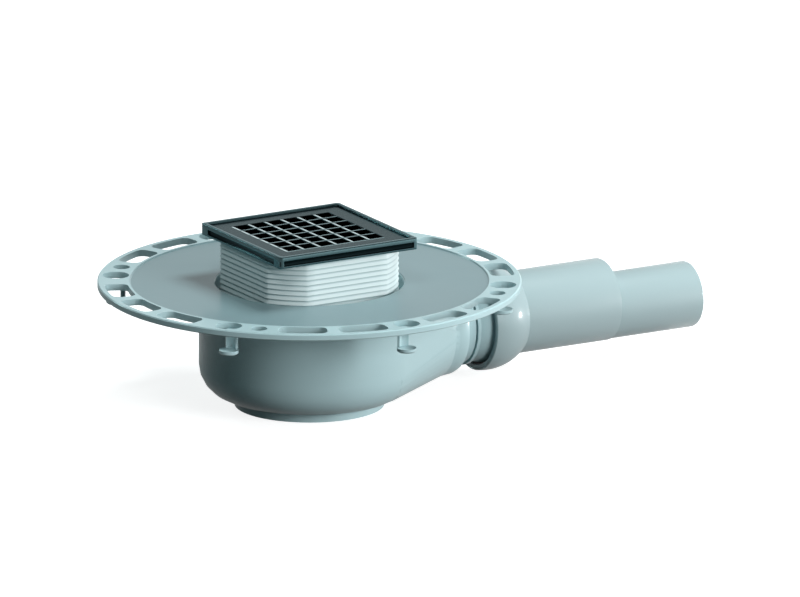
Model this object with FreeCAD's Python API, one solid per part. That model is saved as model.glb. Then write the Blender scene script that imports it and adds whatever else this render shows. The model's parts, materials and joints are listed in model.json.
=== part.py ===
# Gully trap: floor drain body with membrane flange, ribbed riser, framed grate,
# removable water seal insert and a swivelling outlet spigot.
# Millimetres, +Z up, +X along the outlet, origin at the centre of the foot.

import math
import os

import FreeCAD
import Part

V = FreeCAD.Vector

# Flange
FLANGE_TOP = 77.0
FLANGE_T = 4.0
FLANGE_R = 128.0
FLANGE_EDGE_R = 0.6
FLANGE_DISC_INSET = 19.5
FLANGE_DISC_STEP = 0.7
HOLE_INSET = 10.7
SLOT_HALF_WIDTH = 7.25
SLOT_ANGLE = 14.5
SLOT_CORNER_R = 4.5
SLOT_STEPS = 4
SLOT_CENTRES = (0, 18, -18, 58, -58, 76, -76, 104, -104, 122, -122, 162, -162, 180)
BIG_HOLE_R = 8.0
BIG_HOLE_CENTRES = (35.5, 90.0, 144.5, -144.5, -90.0, -35.5)
SMALL_HOLE_R = 5.0
SMALL_HOLE_CENTRES = (45.0, 135.0, -135.0, -45.0)

# Hanging bracket tabs under the big holes
BRACKET_R = 5.9
BRACKET_WALL = 1.5
BRACKET_ARC = 92.0
BRACKET_DROP = 17.5
BRACKET_DISC_T = 2.5
BRACKET_DISC_EDGE = 0.8
BRIDGE_WIDTH = 7.0
BRIDGE_DEPTH = 2.5
BRIDGE_REACH = 1.5

# Riser socket inside the body
OPENING_R = 57.0
OPENING_EDGE = 0.8
SOCKET_WALL = 2.5
LEDGE_DROP = 31.0
LEDGE_WIDTH = 5.0
LEDGE_T = 2.5

# Bowl
BOWL_SURROUND = 9.8
WALL = 3.0
BOWL_ROUNDING = 20.0
BOWL_STEPS = 5
FOOT_INSET = 21.5
FOOT_H = 5.8
FLOOR_T = 3.0

# Outlet pipe
OUTLET_DROP = 39.0
PIPE50_R = 25.0
PIPE50_WALL = 1.8
PIPE50_END = 203.7
PIPE40_R = 20.0
PIPE40_WALL = 2.0
PIPE40_END = 263.6
PIPE40_CHAMFER = 1.0
PIPE_STEP_LOW = 0.3

# Joint ball, neck and collar of the body
BALL_X = 119.0
BALL_OVER_PIPE = 2.4
BALL_START = 14.7
BALL_END = 12.0
BALL_STEPS = 5
BALL_WALL = 5.9
COLLAR_W = 2.1
COLLAR_UNDER_BALL = 0.4
COLLAR_GROOVE_W = 0.9
COLLAR_GROOVE_DEPTH = 1.2
NECK_UNDER_COLLAR = 1.0

# Tapered outlet side of the bowl
CHAMBER_OVER_BALL = 4.6
CHAMBER_TAPER = 0.8
CHAMBER_X0 = 84.0
CHAMBER_X1 = 91.5
SHOULDER_R = 4.2
SHOULDER_STEPS = 2
TAPER_TOP_R = 8.0
TAPER_SINK = 0.1
TAPER_STEPS = 12

# Running clearance between curved faces of moving pieces
RUNNING_GAP = 0.3

# Outlet joint: lip seal, retaining ring and spigot socket
BALL_SEAL_T = 0.9
BALL_SEAL_X0 = -4.6
BALL_SEAL_X1 = 5.4
BALL_SEAL_STEPS = 2
SOCKET_WALL_T = 3.3
SOCKET_LIP = 6.2
SOCKET_STEPS = 5
LIP_WALL = 1.0
RING_SEAT_DEPTH = 3.0
RING_INSET = 0.4
RING_SIDE_GAP = 0.2

# Riser
RISER_IN_OPENING = 3.0
RISER_FLAT_DEPTH = 7.6
RISER_WALL = 2.2
RIB_PITCH = 3.2
RIB_DEPTH = 0.6
RIB_COUNT = 11
RIB_TOP = 23.5
RISER_TOP = 24.0
RISER_BOTTOM = 17.0
COLLAR_IN_OPENING = 1.2
SEAL_GROOVE_LOW = 1.3
SEAL_GROOVE_H = 2.8
SEAL_GROOVE_DEPTH = 2.6
SEAL_SIDE_GAP = 0.2
SEAL_BODY_T = 1.5
SEAL_LIP_H = 1.0

# Grate frame
FRAME_OVER_RISER = 1.6
FRAME_CORNER_R = 2.0
FRAME_H = 7.0
FRAME_RIM = 2.9
FRAME_GROOVE_LOW = 1.3
FRAME_GROOVE_HIGH = 4.5
FRAME_GROOVE_DEPTH = 1.4
POST_LONG = 8.0
POST_SHORT = 2.8
FRAME_SEAT_T = 1.9
FRAME_SEAT_W = 8.0
FRAME_SKIRT_H = 9.0
FRAME_SKIRT_T = 1.6
FRAME_SKIRT_GAP = 0.4
FRAME_RIM_EDGE = 0.7

# Grate
GRATE_GAP = 0.7
GRATE_T = 4.0
GRATE_CORNER_R = 1.2
GRATE_COUNT = 6
GRATE_FIRST = 19.57
GRATE_BAR = 2.37
GRATE_SHIFT_Y = 1.2
GRATE_CHAMFER = 0.8
GRATE_DRAFT = 0.6
GRATE_EDGE = 0.4

# Trap insert
FUNNEL_RIM_GAP = 0.6
FUNNEL_NECK_GAP = 0.5
FUNNEL_RIM_H = 3.5
FUNNEL_RIM_W = 4.1
FUNNEL_WALL = 1.5
TUBE_IN_CUP = 10.5
TUBE_WALL = 2.0
TUBE_LIFT = 5.0
CONE_DROP = 3.5
O_RING_R = 1.0
O_RING_WALL_GAP = 0.2
O_RING_SIDE_GAP = 0.05
O_RING_SIDES = 8
CUP_GAP = 0.8
CUP_WALL = 1.8
CUP_LIFT = 1.0
CUP_FLOOR_T = 2.0
CUP_RIM_DROP = 8.0
CUP_WEBS = 4
CUP_WEB_T = 1.8
CUP_WEB_H = 18.0
CUP_PRESS = 0.03

# Derived places
FLANGE_LOW = FLANGE_TOP - FLANGE_T
FLANGE_DISC_R = FLANGE_R - FLANGE_DISC_INSET
HOLE_CIRCLE_R = FLANGE_R - HOLE_INSET
LEDGE_TOP = FLANGE_TOP - LEDGE_DROP
LEDGE_R = OPENING_R - LEDGE_WIDTH
BOWL_R = OPENING_R + BOWL_SURROUND
FOOT_R = BOWL_R - FOOT_INSET
OUTLET_Z = FLANGE_TOP - OUTLET_DROP
BALL_CENTRE = V(BALL_X, 0, OUTLET_Z)
BALL_R = PIPE50_R + BALL_OVER_PIPE
OUTLET_BORE_R = BALL_R - BALL_WALL
COLLAR_R = BALL_R - COLLAR_UNDER_BALL
COLLAR_X1 = BALL_X - BALL_START
COLLAR_X0 = COLLAR_X1 - COLLAR_W
NECK_R = COLLAR_R - NECK_UNDER_COLLAR
CHAMBER_R0 = BALL_R + CHAMBER_OVER_BALL
CHAMBER_R1 = CHAMBER_R0 - CHAMBER_TAPER
SEAL_IN_R = BALL_R + RUNNING_GAP
SEAL_OUT_R = SEAL_IN_R + BALL_SEAL_T
SOCKET_IN_R = SEAL_OUT_R + RUNNING_GAP
SOCKET_OUT_R = SOCKET_IN_R + SOCKET_WALL_T
LIP_X = BALL_X - SOCKET_LIP
RING_SEAT_R = math.sqrt(SOCKET_OUT_R ** 2 - SOCKET_LIP ** 2) - LIP_WALL
RISER_R = OPENING_R - RISER_IN_OPENING
RISER_FLAT = RISER_R - RISER_FLAT_DEPTH
RISER_Z0 = FLANGE_TOP - RISER_BOTTOM
RISER_COLLAR_R = OPENING_R - COLLAR_IN_OPENING
SEAL_GROOVE_R = RISER_COLLAR_R - SEAL_GROOVE_DEPTH
GROOVE_Z0 = RISER_Z0 + SEAL_GROOVE_LOW
GROOVE_Z1 = GROOVE_Z0 + SEAL_GROOVE_H
FRAME_Z = FLANGE_TOP + RISER_TOP
FRAME_HALF = RISER_FLAT + FRAME_OVER_RISER
SEAT_TOP = FRAME_Z + FRAME_SEAT_T
GRATE_TOP = SEAT_TOP + GRATE_T
GRATE_PITCH = 2 * (FRAME_HALF - GRATE_FIRST) / (GRATE_COUNT - 1)
GRATE_HOLE = GRATE_PITCH - GRATE_BAR
FUNNEL_NECK_R = LEDGE_R - FUNNEL_NECK_GAP
FUNNEL_RIM_R = OPENING_R - FUNNEL_RIM_GAP
O_RING_OUT = OPENING_R - O_RING_WALL_GAP
O_RING_Z = LEDGE_TOP + 0.5 * FUNNEL_RIM_H
CUP_R = FOOT_R - WALL - CUP_GAP
CUP_FLOOR = FLOOR_T + CUP_LIFT
CUP_RIM = LEDGE_TOP - CUP_RIM_DROP
TUBE_R = CUP_R - TUBE_IN_CUP
TUBE_END = CUP_FLOOR + CUP_FLOOR_T + TUBE_LIFT
CONE_UNDER = LEDGE_TOP - CONE_DROP


def save(shape, node):
    """Write one solid to its STEP file."""
    solids = shape.Solids
    assert len(solids) == 1, node + " has %d solids" % len(solids)
    assert solids[0].isValid(), node + " is not valid"
    solids[0].exportStep("parts/" + node + ".step")


def polar(radius, degrees, z=0.0):
    """Return the point at a radius and an angle about the Z axis."""
    a = math.radians(degrees)
    return V(radius * math.cos(a), radius * math.sin(a), z)


def line(a, b):
    """Return a straight edge."""
    return Part.makeLine(a, b)


def arc(a, b, c):
    """Return an arc edge through three points."""
    return Part.Arc(a, b, c).toShape()


def arc_steps(centre, radius, a0, a1, steps, around=False):
    """Return points in the XZ plane along an arc in equal steps, on it or drawn around it."""
    r = radius / math.cos(math.radians(0.5 * abs(a1 - a0) / steps)) if around else radius
    pts = []
    for i in range(steps + 1):
        a = math.radians(a0 + (a1 - a0) * i / steps)
        pts.append(V(centre[0] + r * math.cos(a), 0, centre[1] + r * math.sin(a)))
    return pts


def profile(points):
    """Return a face in the XZ plane with straight edges through the points."""
    return Part.Face(Part.makePolygon(points + [points[0]]))


def turn_z(points):
    """Turn a closed profile in the XZ plane once about the Z axis."""
    return profile(points).revolve(V(0, 0, 0), V(0, 0, 1), 360)


def turn_outlet(points):
    """Turn a closed profile once about the outlet axis."""
    return profile(points).revolve(BALL_CENTRE, V(1, 0, 0), 360)


def ring_z(r0, r1, z0, z1):
    """Return a plain ring about the Z axis."""
    return turn_z([V(r0, 0, z0), V(r1, 0, z0), V(r1, 0, z1), V(r0, 0, z1)])


def outlet_point(x, radius):
    """Return a point above the outlet axis in the XZ plane."""
    return V(x, 0, OUTLET_Z + radius)


def outlet_rod(radius, x0, x1):
    """Return a cylinder on the outlet axis."""
    return Part.makeCylinder(radius, x1 - x0, V(x0, 0, OUTLET_Z), V(1, 0, 0))


# Square and round outlines

def square_wire(half, corner, z):
    """Return a square wire with rounded corners at a height."""
    s = half - corner
    d = corner * math.sqrt(0.5)
    edges = []
    for sx, sy in ((1, 1), (-1, 1), (-1, -1), (1, -1)):
        first = V(sx * half, sy * s, z) if sx * sy > 0 else V(sx * s, sy * half, z)
        last = V(sx * s, sy * half, z) if sx * sy > 0 else V(sx * half, sy * s, z)
        mid = V(sx * (s + d), sy * (s + d), z)
        if edges:
            edges.append(line(edges[-1].Vertexes[-1].Point, first))
        edges.append(arc(first, mid, last))
    edges.append(line(edges[-1].Vertexes[-1].Point, edges[0].Vertexes[0].Point))
    return Part.Wire(edges)


def square_block(half, corner, z0, z1):
    """Return a square block with rounded upright edges."""
    return Part.Face(square_wire(half, corner, z0)).extrude(V(0, 0, z1 - z0))


def riser_wire(offset, z):
    """Return the riser outline, a circle cut by four flats, moved out by an offset."""
    r = RISER_R + offset
    f = RISER_FLAT + offset
    w = math.sqrt(r * r - f * f)
    d = r * math.sqrt(0.5)
    corners = []
    corners.append((V(f, w, z), V(d, d, z), V(w, f, z)))
    corners.append((V(-w, f, z), V(-d, d, z), V(-f, w, z)))
    corners.append((V(-f, -w, z), V(-d, -d, z), V(-w, -f, z)))
    corners.append((V(w, -f, z), V(d, -d, z), V(f, -w, z)))
    edges = []
    for i, (a, b, c) in enumerate(corners):
        edges.append(arc(a, b, c))
        edges.append(line(c, corners[(i + 1) % 4][0]))
    return Part.Wire(edges)


def riser_block(offset, z0, z1):
    """Return a straight block with the riser outline."""
    return Part.Face(riser_wire(offset, z0)).extrude(V(0, 0, z1 - z0))


# Body: flange

def slot_corner(centre, side, out):
    """Return points round one slot corner, from the curved side to the straight one."""
    rc = HOLE_CIRCLE_R + out * (SLOT_HALF_WIDTH - SLOT_CORNER_R)
    beside = 0.5 * SLOT_ANGLE - math.degrees(math.asin(SLOT_CORNER_R / rc))
    a0 = beside + (0 if out > 0 else 180)
    a1 = 0.5 * SLOT_ANGLE + 90
    pts = []
    for i in range(SLOT_STEPS + 1):
        turn = centre + side * (a0 + (a1 - a0) * i / SLOT_STEPS)
        pts.append(polar(rc, centre + side * beside, FLANGE_LOW - 1.0) + polar(SLOT_CORNER_R, turn))
    return pts


def slot_cutter(centre):
    """Return the curved flange slot at an angle as a cutting block."""
    z = FLANGE_LOW - 1.0
    first = slot_corner(centre, 1, 1) + slot_corner(centre, 1, -1)[::-1]
    second = slot_corner(centre, -1, -1) + slot_corner(centre, -1, 1)[::-1]
    edges = Part.makePolygon(first).Edges
    edges.append(arc(first[-1], polar(HOLE_CIRCLE_R - SLOT_HALF_WIDTH, centre, z), second[0]))
    edges += Part.makePolygon(second).Edges
    edges.append(arc(second[-1], polar(HOLE_CIRCLE_R + SLOT_HALF_WIDTH, centre, z), first[0]))
    return Part.Face(Part.Wire(edges)).extrude(V(0, 0, FLANGE_T + 2.0))


def hole_cutter(radius, angle):
    """Return a round flange hole at an angle as a cutting cylinder."""
    return Part.makeCylinder(radius, FLANGE_T + 2.0, polar(HOLE_CIRCLE_R, angle, FLANGE_LOW - 1.0))


def flange():
    """Return the flange plate with its shallow inner disc and all holes."""
    e = FLANGE_EDGE_R
    pts = []
    pts.append(V(OPENING_R - 1.0, 0, FLANGE_LOW))
    pts.append(V(FLANGE_R - e, 0, FLANGE_LOW))
    pts.append(V(FLANGE_R, 0, FLANGE_LOW + e))
    pts.append(V(FLANGE_R, 0, FLANGE_TOP - e))
    pts.append(V(FLANGE_R - e, 0, FLANGE_TOP))
    pts.append(V(FLANGE_DISC_R, 0, FLANGE_TOP))
    pts.append(V(FLANGE_DISC_R - FLANGE_DISC_STEP, 0, FLANGE_TOP - FLANGE_DISC_STEP))
    pts.append(V(OPENING_R - 1.0, 0, FLANGE_TOP - FLANGE_DISC_STEP))
    plate = turn_z(pts)
    cutters = [slot_cutter(a) for a in SLOT_CENTRES]
    cutters += [hole_cutter(BIG_HOLE_R, a) for a in BIG_HOLE_CENTRES]
    cutters += [hole_cutter(SMALL_HOLE_R, a) for a in SMALL_HOLE_CENTRES]
    return plate.cut(cutters)


def bracket(angle):
    """Return one hanging tab: a strip of tube wall over a small disc, tied to the flange."""
    z0 = FLANGE_TOP - BRACKET_DROP
    bore = BRACKET_R - BRACKET_WALL
    tube = Part.makeCylinder(BRACKET_R, FLANGE_LOW - z0, V(0, 0, z0), V(0, 0, 1), BRACKET_ARC)
    tube = tube.cut(Part.makeCylinder(bore, FLANGE_LOW, V(0, 0, 0)))
    tube.rotate(V(0, 0, 0), V(0, 0, 1), 180 - 0.5 * BRACKET_ARC)
    disc = Part.makeCylinder(BRACKET_R, BRACKET_DISC_T, V(0, 0, z0))
    low = [e for e in disc.Edges if e.BoundBox.ZMax < z0 + 1e-3]
    disc = disc.makeChamfer(BRACKET_DISC_EDGE, low)
    reach = BIG_HOLE_R + BRIDGE_REACH - bore
    place = V(-bore - reach, -0.5 * BRIDGE_WIDTH, FLANGE_LOW - BRIDGE_DEPTH)
    bridge = Part.makeBox(reach + 0.5, BRIDGE_WIDTH, BRIDGE_DEPTH + 0.5, place)
    bridge = bridge.cut(Part.makeCylinder(bore, FLANGE_TOP, V(0, 0, 0)))
    tab = tube.fuse([disc, bridge])
    tab.rotate(V(0, 0, 0), V(0, 0, 1), angle)
    tab.translate(polar(HOLE_CIRCLE_R, angle))
    return tab


# Body: bowl and outlet

def bowl_points(inset, low, top):
    """Return the half profile of the bowl, moved inward by an inset."""
    centre = (BOWL_R - BOWL_ROUNDING, FOOT_H + BOWL_ROUNDING)
    turn = arc_steps(centre, BOWL_ROUNDING - inset, -90, 0, BOWL_STEPS)
    foot = FOOT_R - inset
    pts = [V(0, 0, low), V(foot, 0, low), V(foot, 0, turn[0].z)] + turn
    return pts + [V(turn[-1].x, 0, top), V(0, 0, top)]


def arc_points(cy, cz, radius, a0, a1):
    """Return points on an arc in the YZ plane, angles in degrees from +Y to +Z."""
    pts = []
    for i in range(TAPER_STEPS + 1):
        a = math.radians(a0 + (a1 - a0) * i / TAPER_STEPS)
        pts.append((cy + radius * math.cos(a), cz + radius * math.sin(a)))
    return pts


def rounding_points(x, inset):
    """Return where the bowl rounding meets an upright plane, from its side to its bottom."""
    turn = arc_points(BOWL_R - BOWL_ROUNDING, FOOT_H + BOWL_ROUNDING, BOWL_ROUNDING - inset, 0, -90)
    return [(math.sqrt(radius ** 2 - x ** 2), z) for radius, z in turn]


def section_wire(x, low, top):
    """Return a mirrored section wire from its top and low corner points on the +Y side."""
    right = [V(x, y, z) for y, z in top + low]
    left = [V(x, -y, z) for y, z in reversed(top + low)]
    return Part.makePolygon(right + left + [right[0]])


def taper(inset, top):
    """Return the tapered block from the bowl to the round outlet chamber."""
    away = math.hypot(CHAMBER_X0, CHAMBER_R0)
    turn = math.atan2(CHAMBER_R0, CHAMBER_X0) + math.acos(BOWL_R / away)
    x0 = BOWL_R * math.cos(turn)
    low = rounding_points(x0, inset + TAPER_SINK)
    corner = low[0][0] - TAPER_TOP_R
    start = section_wire(x0, low, arc_points(corner, top - TAPER_TOP_R, TAPER_TOP_R, 90, 0))
    r1 = CHAMBER_R0 - inset - TAPER_SINK
    low = arc_points(TAPER_SINK, OUTLET_Z - TAPER_SINK, r1, 0, -90)
    high = arc_points(TAPER_SINK, OUTLET_Z + TAPER_SINK, r1, 90, 0)
    end = section_wire(CHAMBER_X0, low, high)
    return Part.makeLoft([start, end], True, True)


def chamber():
    """Return the outlet chamber, shoulder, neck, collar and joint ball as one turned solid."""
    back = CHAMBER_X0 - 0.5
    groove_x = COLLAR_X0 - COLLAR_GROOVE_W
    groove_r = COLLAR_R - COLLAR_GROOVE_DEPTH - NECK_UNDER_COLLAR
    first = 180 - math.degrees(math.acos(BALL_START / BALL_R))
    last = math.degrees(math.acos(BALL_END / BALL_R))
    pts = [outlet_point(back, 0), outlet_point(back, CHAMBER_R0)]
    pts += arc_steps((CHAMBER_X1, OUTLET_Z + CHAMBER_R1 - SHOULDER_R), SHOULDER_R, 90, 0, SHOULDER_STEPS)
    pts += [outlet_point(CHAMBER_X1 + SHOULDER_R, NECK_R), outlet_point(groove_x, NECK_R)]
    pts += [outlet_point(groove_x, groove_r), outlet_point(COLLAR_X0, groove_r)]
    pts += [outlet_point(COLLAR_X0, COLLAR_R), outlet_point(COLLAR_X1, COLLAR_R)]
    pts += arc_steps((BALL_X, OUTLET_Z), BALL_R, first, last, BALL_STEPS)
    pts += [outlet_point(BALL_X + BALL_END, 0)]
    return turn_outlet(pts)


def riser_socket():
    """Return the inner tube that takes the riser, with the ledge for the trap insert."""
    r1 = OPENING_R + SOCKET_WALL
    low = LEDGE_TOP - LEDGE_T
    e = OPENING_EDGE
    face = FLANGE_TOP - FLANGE_DISC_STEP
    pts = [V(LEDGE_R, 0, low + 0.5), V(LEDGE_R + 0.5, 0, low), V(r1, 0, low), V(r1, 0, FLANGE_LOW + 0.5)]
    pts += [V(r1 + 2.0, 0, face), V(OPENING_R + e, 0, face), V(OPENING_R, 0, face - e)]
    pts += [V(OPENING_R, 0, LEDGE_TOP), V(LEDGE_R, 0, LEDGE_TOP)]
    return turn_z(pts)


def make_body():
    """Return the body moulding."""
    top = FLANGE_LOW + 0.5
    outer = turn_z(bowl_points(0.0, 0.0, top))
    outer = outer.fuse([taper(0.0, top), chamber(), flange()])
    inner = turn_z(bowl_points(WALL, FLOOR_T, FLANGE_LOW))
    room = outlet_rod(CHAMBER_R1 - WALL, CHAMBER_X0 - 1.0, CHAMBER_X1 - WALL)
    bore = outlet_rod(OUTLET_BORE_R, CHAMBER_X1 - WALL - 1.0, BALL_X + BALL_END + 1.0)
    mouth = Part.makeCylinder(OPENING_R + 1.0, FLANGE_T + 2.0, V(0, 0, FLANGE_LOW - 1.0))
    shell = outer.cut([inner, taper(WALL, FLANGE_LOW - 1.0), room, bore, mouth])
    return shell.fuse([riser_socket()] + [bracket(a) for a in BIG_HOLE_CENTRES]).removeSplitter()


# Trap insert

def make_funnel():
    """Return the seat rim, cone and dip tube."""
    top = LEDGE_TOP + FUNNEL_RIM_H
    half = O_RING_R + O_RING_SIDE_GAP
    deep = O_RING_OUT - 2 * O_RING_R
    bore = TUBE_R - TUBE_WALL
    lip = FUNNEL_RIM_R - FUNNEL_RIM_W
    pts = [V(bore, 0, TUBE_END), V(TUBE_R, 0, TUBE_END), V(TUBE_R, 0, CONE_UNDER)]
    pts += [V(FUNNEL_NECK_R, 0, LEDGE_TOP), V(FUNNEL_RIM_R, 0, LEDGE_TOP)]
    pts += [V(FUNNEL_RIM_R, 0, O_RING_Z - half), V(deep, 0, O_RING_Z - half)]
    pts += [V(deep, 0, O_RING_Z + half), V(FUNNEL_RIM_R, 0, O_RING_Z + half)]
    pts += [V(FUNNEL_RIM_R, 0, top), V(lip, 0, top), V(lip - FUNNEL_WALL, 0, LEDGE_TOP + FUNNEL_WALL)]
    pts += [V(bore, 0, CONE_UNDER + FUNNEL_WALL)]
    return turn_z(pts)


def make_o_ring():
    """Return the ring in the groove of the funnel rim."""
    return turn_z(arc_steps((O_RING_OUT - O_RING_R, O_RING_Z), O_RING_R, 0, 360, O_RING_SIDES)[:-1])


def make_cup():
    """Return the cup with its weir rim and the webs that grip the dip tube."""
    inner = CUP_R - CUP_WALL
    pts = [V(0, 0, CUP_FLOOR), V(CUP_R, 0, CUP_FLOOR)]
    pts += [V(CUP_R, 0, CUP_RIM), V(inner, 0, CUP_RIM), V(inner, 0, CUP_FLOOR + CUP_FLOOR_T)]
    pts += [V(0, 0, CUP_FLOOR + CUP_FLOOR_T)]
    cup = turn_z(pts)
    webs = []
    for i in range(CUP_WEBS):
        start = TUBE_R - 1.0
        place = V(start, -0.5 * CUP_WEB_T, CUP_RIM - CUP_WEB_H)
        web = Part.makeBox(inner + 0.5 - start, CUP_WEB_T, CUP_WEB_H, place)
        web.rotate(V(0, 0, 0), V(0, 0, 1), 45 + i * 360 / CUP_WEBS)
        webs.append(web)
    tube = Part.makeCylinder(TUBE_R - CUP_PRESS, CUP_RIM + 1.0, V(0, 0, 0))
    return cup.fuse([w.cut(tube) for w in webs]).removeSplitter()


# Outlet joint and spigot

def ball_angle(x, radius):
    """Return the angle of a place along X on a sphere about the ball centre, in degrees."""
    return math.degrees(math.acos(x / radius))


def make_ball_seal():
    """Return the lip seal that lies on the ball."""
    centre = (BALL_X, OUTLET_Z)
    a0 = ball_angle(BALL_SEAL_X0, SEAL_OUT_R)
    a1 = ball_angle(BALL_SEAL_X1, SEAL_OUT_R)
    outer = arc_steps(centre, SEAL_OUT_R, a0, a1, BALL_SEAL_STEPS)
    inner = arc_steps(centre, SEAL_IN_R, a1, a0, BALL_SEAL_STEPS, True)
    return turn_outlet(outer + inner)


def make_retaining_ring():
    """Return the ring in the mouth of the spigot socket."""
    x0 = RING_INSET - SOCKET_LIP
    x1 = RING_SEAT_DEPTH - RING_SIDE_GAP - SOCKET_LIP
    r = RING_SEAT_R - RUNNING_GAP
    pts = [outlet_point(BALL_X + x0, r), outlet_point(BALL_X + x1, r)]
    a0 = ball_angle(x0, SOCKET_IN_R)
    a1 = ball_angle(x1, SOCKET_IN_R)
    pts += arc_steps((BALL_X, OUTLET_Z), SOCKET_IN_R, a1, a0, 1, True)
    return turn_outlet(pts)


def pipe40(radius, x0, x1):
    """Return a rod on the lower axis of the thin pipe."""
    axis_z = OUTLET_Z - (PIPE50_R - PIPE40_R) + PIPE_STEP_LOW
    return Part.makeCylinder(radius, x1 - x0, V(x0, 0, axis_z), V(1, 0, 0))


def make_spigot():
    """Return the ball socket with the stepped pipe."""
    centre = (BALL_X, OUTLET_Z)
    seat_x = LIP_X + RING_SEAT_DEPTH
    bore_r = PIPE50_R - PIPE50_WALL
    lip = ball_angle(-SOCKET_LIP, SOCKET_OUT_R)
    neck = math.degrees(math.asin(PIPE50_R / SOCKET_OUT_R))
    pts = arc_steps(centre, SOCKET_OUT_R, lip, neck, SOCKET_STEPS)
    pts[-1] = outlet_point(pts[-1].x, PIPE50_R)
    pts += [outlet_point(PIPE50_END, PIPE50_R), outlet_point(PIPE50_END, 0)]
    pts += [outlet_point(PIPE50_END - PIPE50_WALL, 0), outlet_point(PIPE50_END - PIPE50_WALL, bore_r)]
    back = ball_angle(seat_x - BALL_X, SOCKET_IN_R)
    inner_neck = math.degrees(math.asin(bore_r / SOCKET_IN_R))
    inner = arc_steps(centre, SOCKET_IN_R, inner_neck, back, SOCKET_STEPS, True)
    inner[0] = outlet_point(inner[0].x, bore_r)
    pts += inner
    pts += [outlet_point(pts[-1].x, RING_SEAT_R), outlet_point(LIP_X, RING_SEAT_R)]
    thin = pipe40(PIPE40_R, PIPE50_END - 1.0, PIPE40_END)
    end = [e for e in thin.Edges if e.BoundBox.XMin > PIPE40_END - 1e-3]
    thin = thin.makeChamfer(PIPE40_CHAMFER, end)
    bore40 = pipe40(PIPE40_R - PIPE40_WALL, PIPE50_END - PIPE50_WALL - 1.0, PIPE40_END + 1.0)
    return turn_outlet(pts).fuse(thin).cut(bore40).removeSplitter()


# Riser, seal, frame and grate

def make_riser():
    """Return the ribbed riser tube with its round lower collar."""
    rib0 = FLANGE_TOP + RIB_TOP
    bands = []
    for i in range(RIB_COUNT):
        z1 = rib0 - i * RIB_PITCH
        z0 = z1 - RIB_PITCH
        low = riser_wire(0.0, z0)
        high = riser_wire(-RIB_DEPTH, z1)
        bands.append(Part.makeLoft([low, high], True, True))
    rib_low = rib0 - RIB_COUNT * RIB_PITCH
    core = riser_block(-RIB_DEPTH - 0.05, RISER_Z0, FRAME_Z)
    collar = Part.makeCylinder(RISER_COLLAR_R, rib_low - RISER_Z0, V(0, 0, RISER_Z0))
    collar = collar.makeChamfer(0.6, [e for e in collar.Edges if e.BoundBox.ZMax < RISER_Z0 + 1e-3])
    solid = core.fuse(bands + [collar])
    groove = ring_z(SEAL_GROOVE_R, RISER_COLLAR_R + 1.0, GROOVE_Z0, GROOVE_Z1)
    hollow = riser_block(-RIB_DEPTH - RISER_WALL, RISER_Z0 - 1.0, FRAME_Z + 1.0)
    return solid.cut([groove, hollow]).removeSplitter()


def make_riser_seal():
    """Return the lip seal in the riser collar."""
    r0 = SEAL_GROOVE_R + RUNNING_GAP
    r1 = r0 + SEAL_BODY_T
    lip = OPENING_R - RUNNING_GAP
    z0 = GROOVE_Z0 + SEAL_SIDE_GAP
    z1 = GROOVE_Z1 - SEAL_SIDE_GAP
    pts = [V(r0, 0, z0), V(r1, 0, z0), V(lip, 0, z1 - SEAL_LIP_H), V(lip, 0, z1), V(r0, 0, z1)]
    return turn_z(pts)


def frame_groove(angle, length):
    """Return the groove cutter of one frame side."""
    high = FRAME_GROOVE_HIGH - FRAME_GROOVE_LOW
    place = V(FRAME_HALF - FRAME_GROOVE_DEPTH, -0.5 * length, FRAME_Z + FRAME_GROOVE_LOW)
    cutter = Part.makeBox(FRAME_GROOVE_DEPTH + 1.0, length, high, place)
    cutter.rotate(V(0, 0, 0), V(0, 0, 1), angle)
    return cutter


def make_frame():
    """Return the square frame with its seat and the skirt inside the riser."""
    top = FRAME_Z + FRAME_H
    block = square_block(FRAME_HALF, FRAME_CORNER_R, FRAME_Z, top)
    rim = [e for e in block.Edges if e.BoundBox.ZMin > top - 1e-3]
    block = block.makeChamfer(FRAME_RIM_EDGE, rim)
    skirt_out = -RIB_DEPTH - RISER_WALL - FRAME_SKIRT_GAP
    skirt = riser_block(skirt_out, FRAME_Z - FRAME_SKIRT_H, FRAME_Z + 0.5)
    skirt = skirt.cut(riser_block(skirt_out - FRAME_SKIRT_T, FRAME_Z - FRAME_SKIRT_H - 1.0, FRAME_Z + 1.0))
    pocket = square_block(FRAME_HALF - FRAME_RIM, FRAME_CORNER_R * 0.8, SEAT_TOP, top + 1.0)
    through = square_block(FRAME_HALF - FRAME_SEAT_W, FRAME_CORNER_R, FRAME_Z - 1.0, top + 1.0)
    frame = block.cut([pocket, through]).fuse(skirt)
    cutters = []
    for i in range(4):
        post = POST_LONG if i % 2 == 0 else POST_SHORT
        cutters.append(frame_groove(90 * i, 2 * (FRAME_HALF - post)))
    return frame.cut(cutters).removeSplitter()


def grate_hole(x, y):
    """Return one square hole with a sloping mouth as a cutting block."""
    wide = 0.5 * GRATE_HOLE
    narrow = wide - GRATE_DRAFT
    levels = []
    for half, z in ((wide, GRATE_TOP), (narrow, GRATE_TOP - GRATE_CHAMFER), (narrow, SEAT_TOP)):
        pts = [V(x - half, y - half, z), V(x + half, y - half, z)]
        pts += [V(x + half, y + half, z), V(x - half, y + half, z)]
        levels.append(Part.makePolygon(pts + [pts[0]]))
    return Part.makeLoft(levels, True, True)


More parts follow.
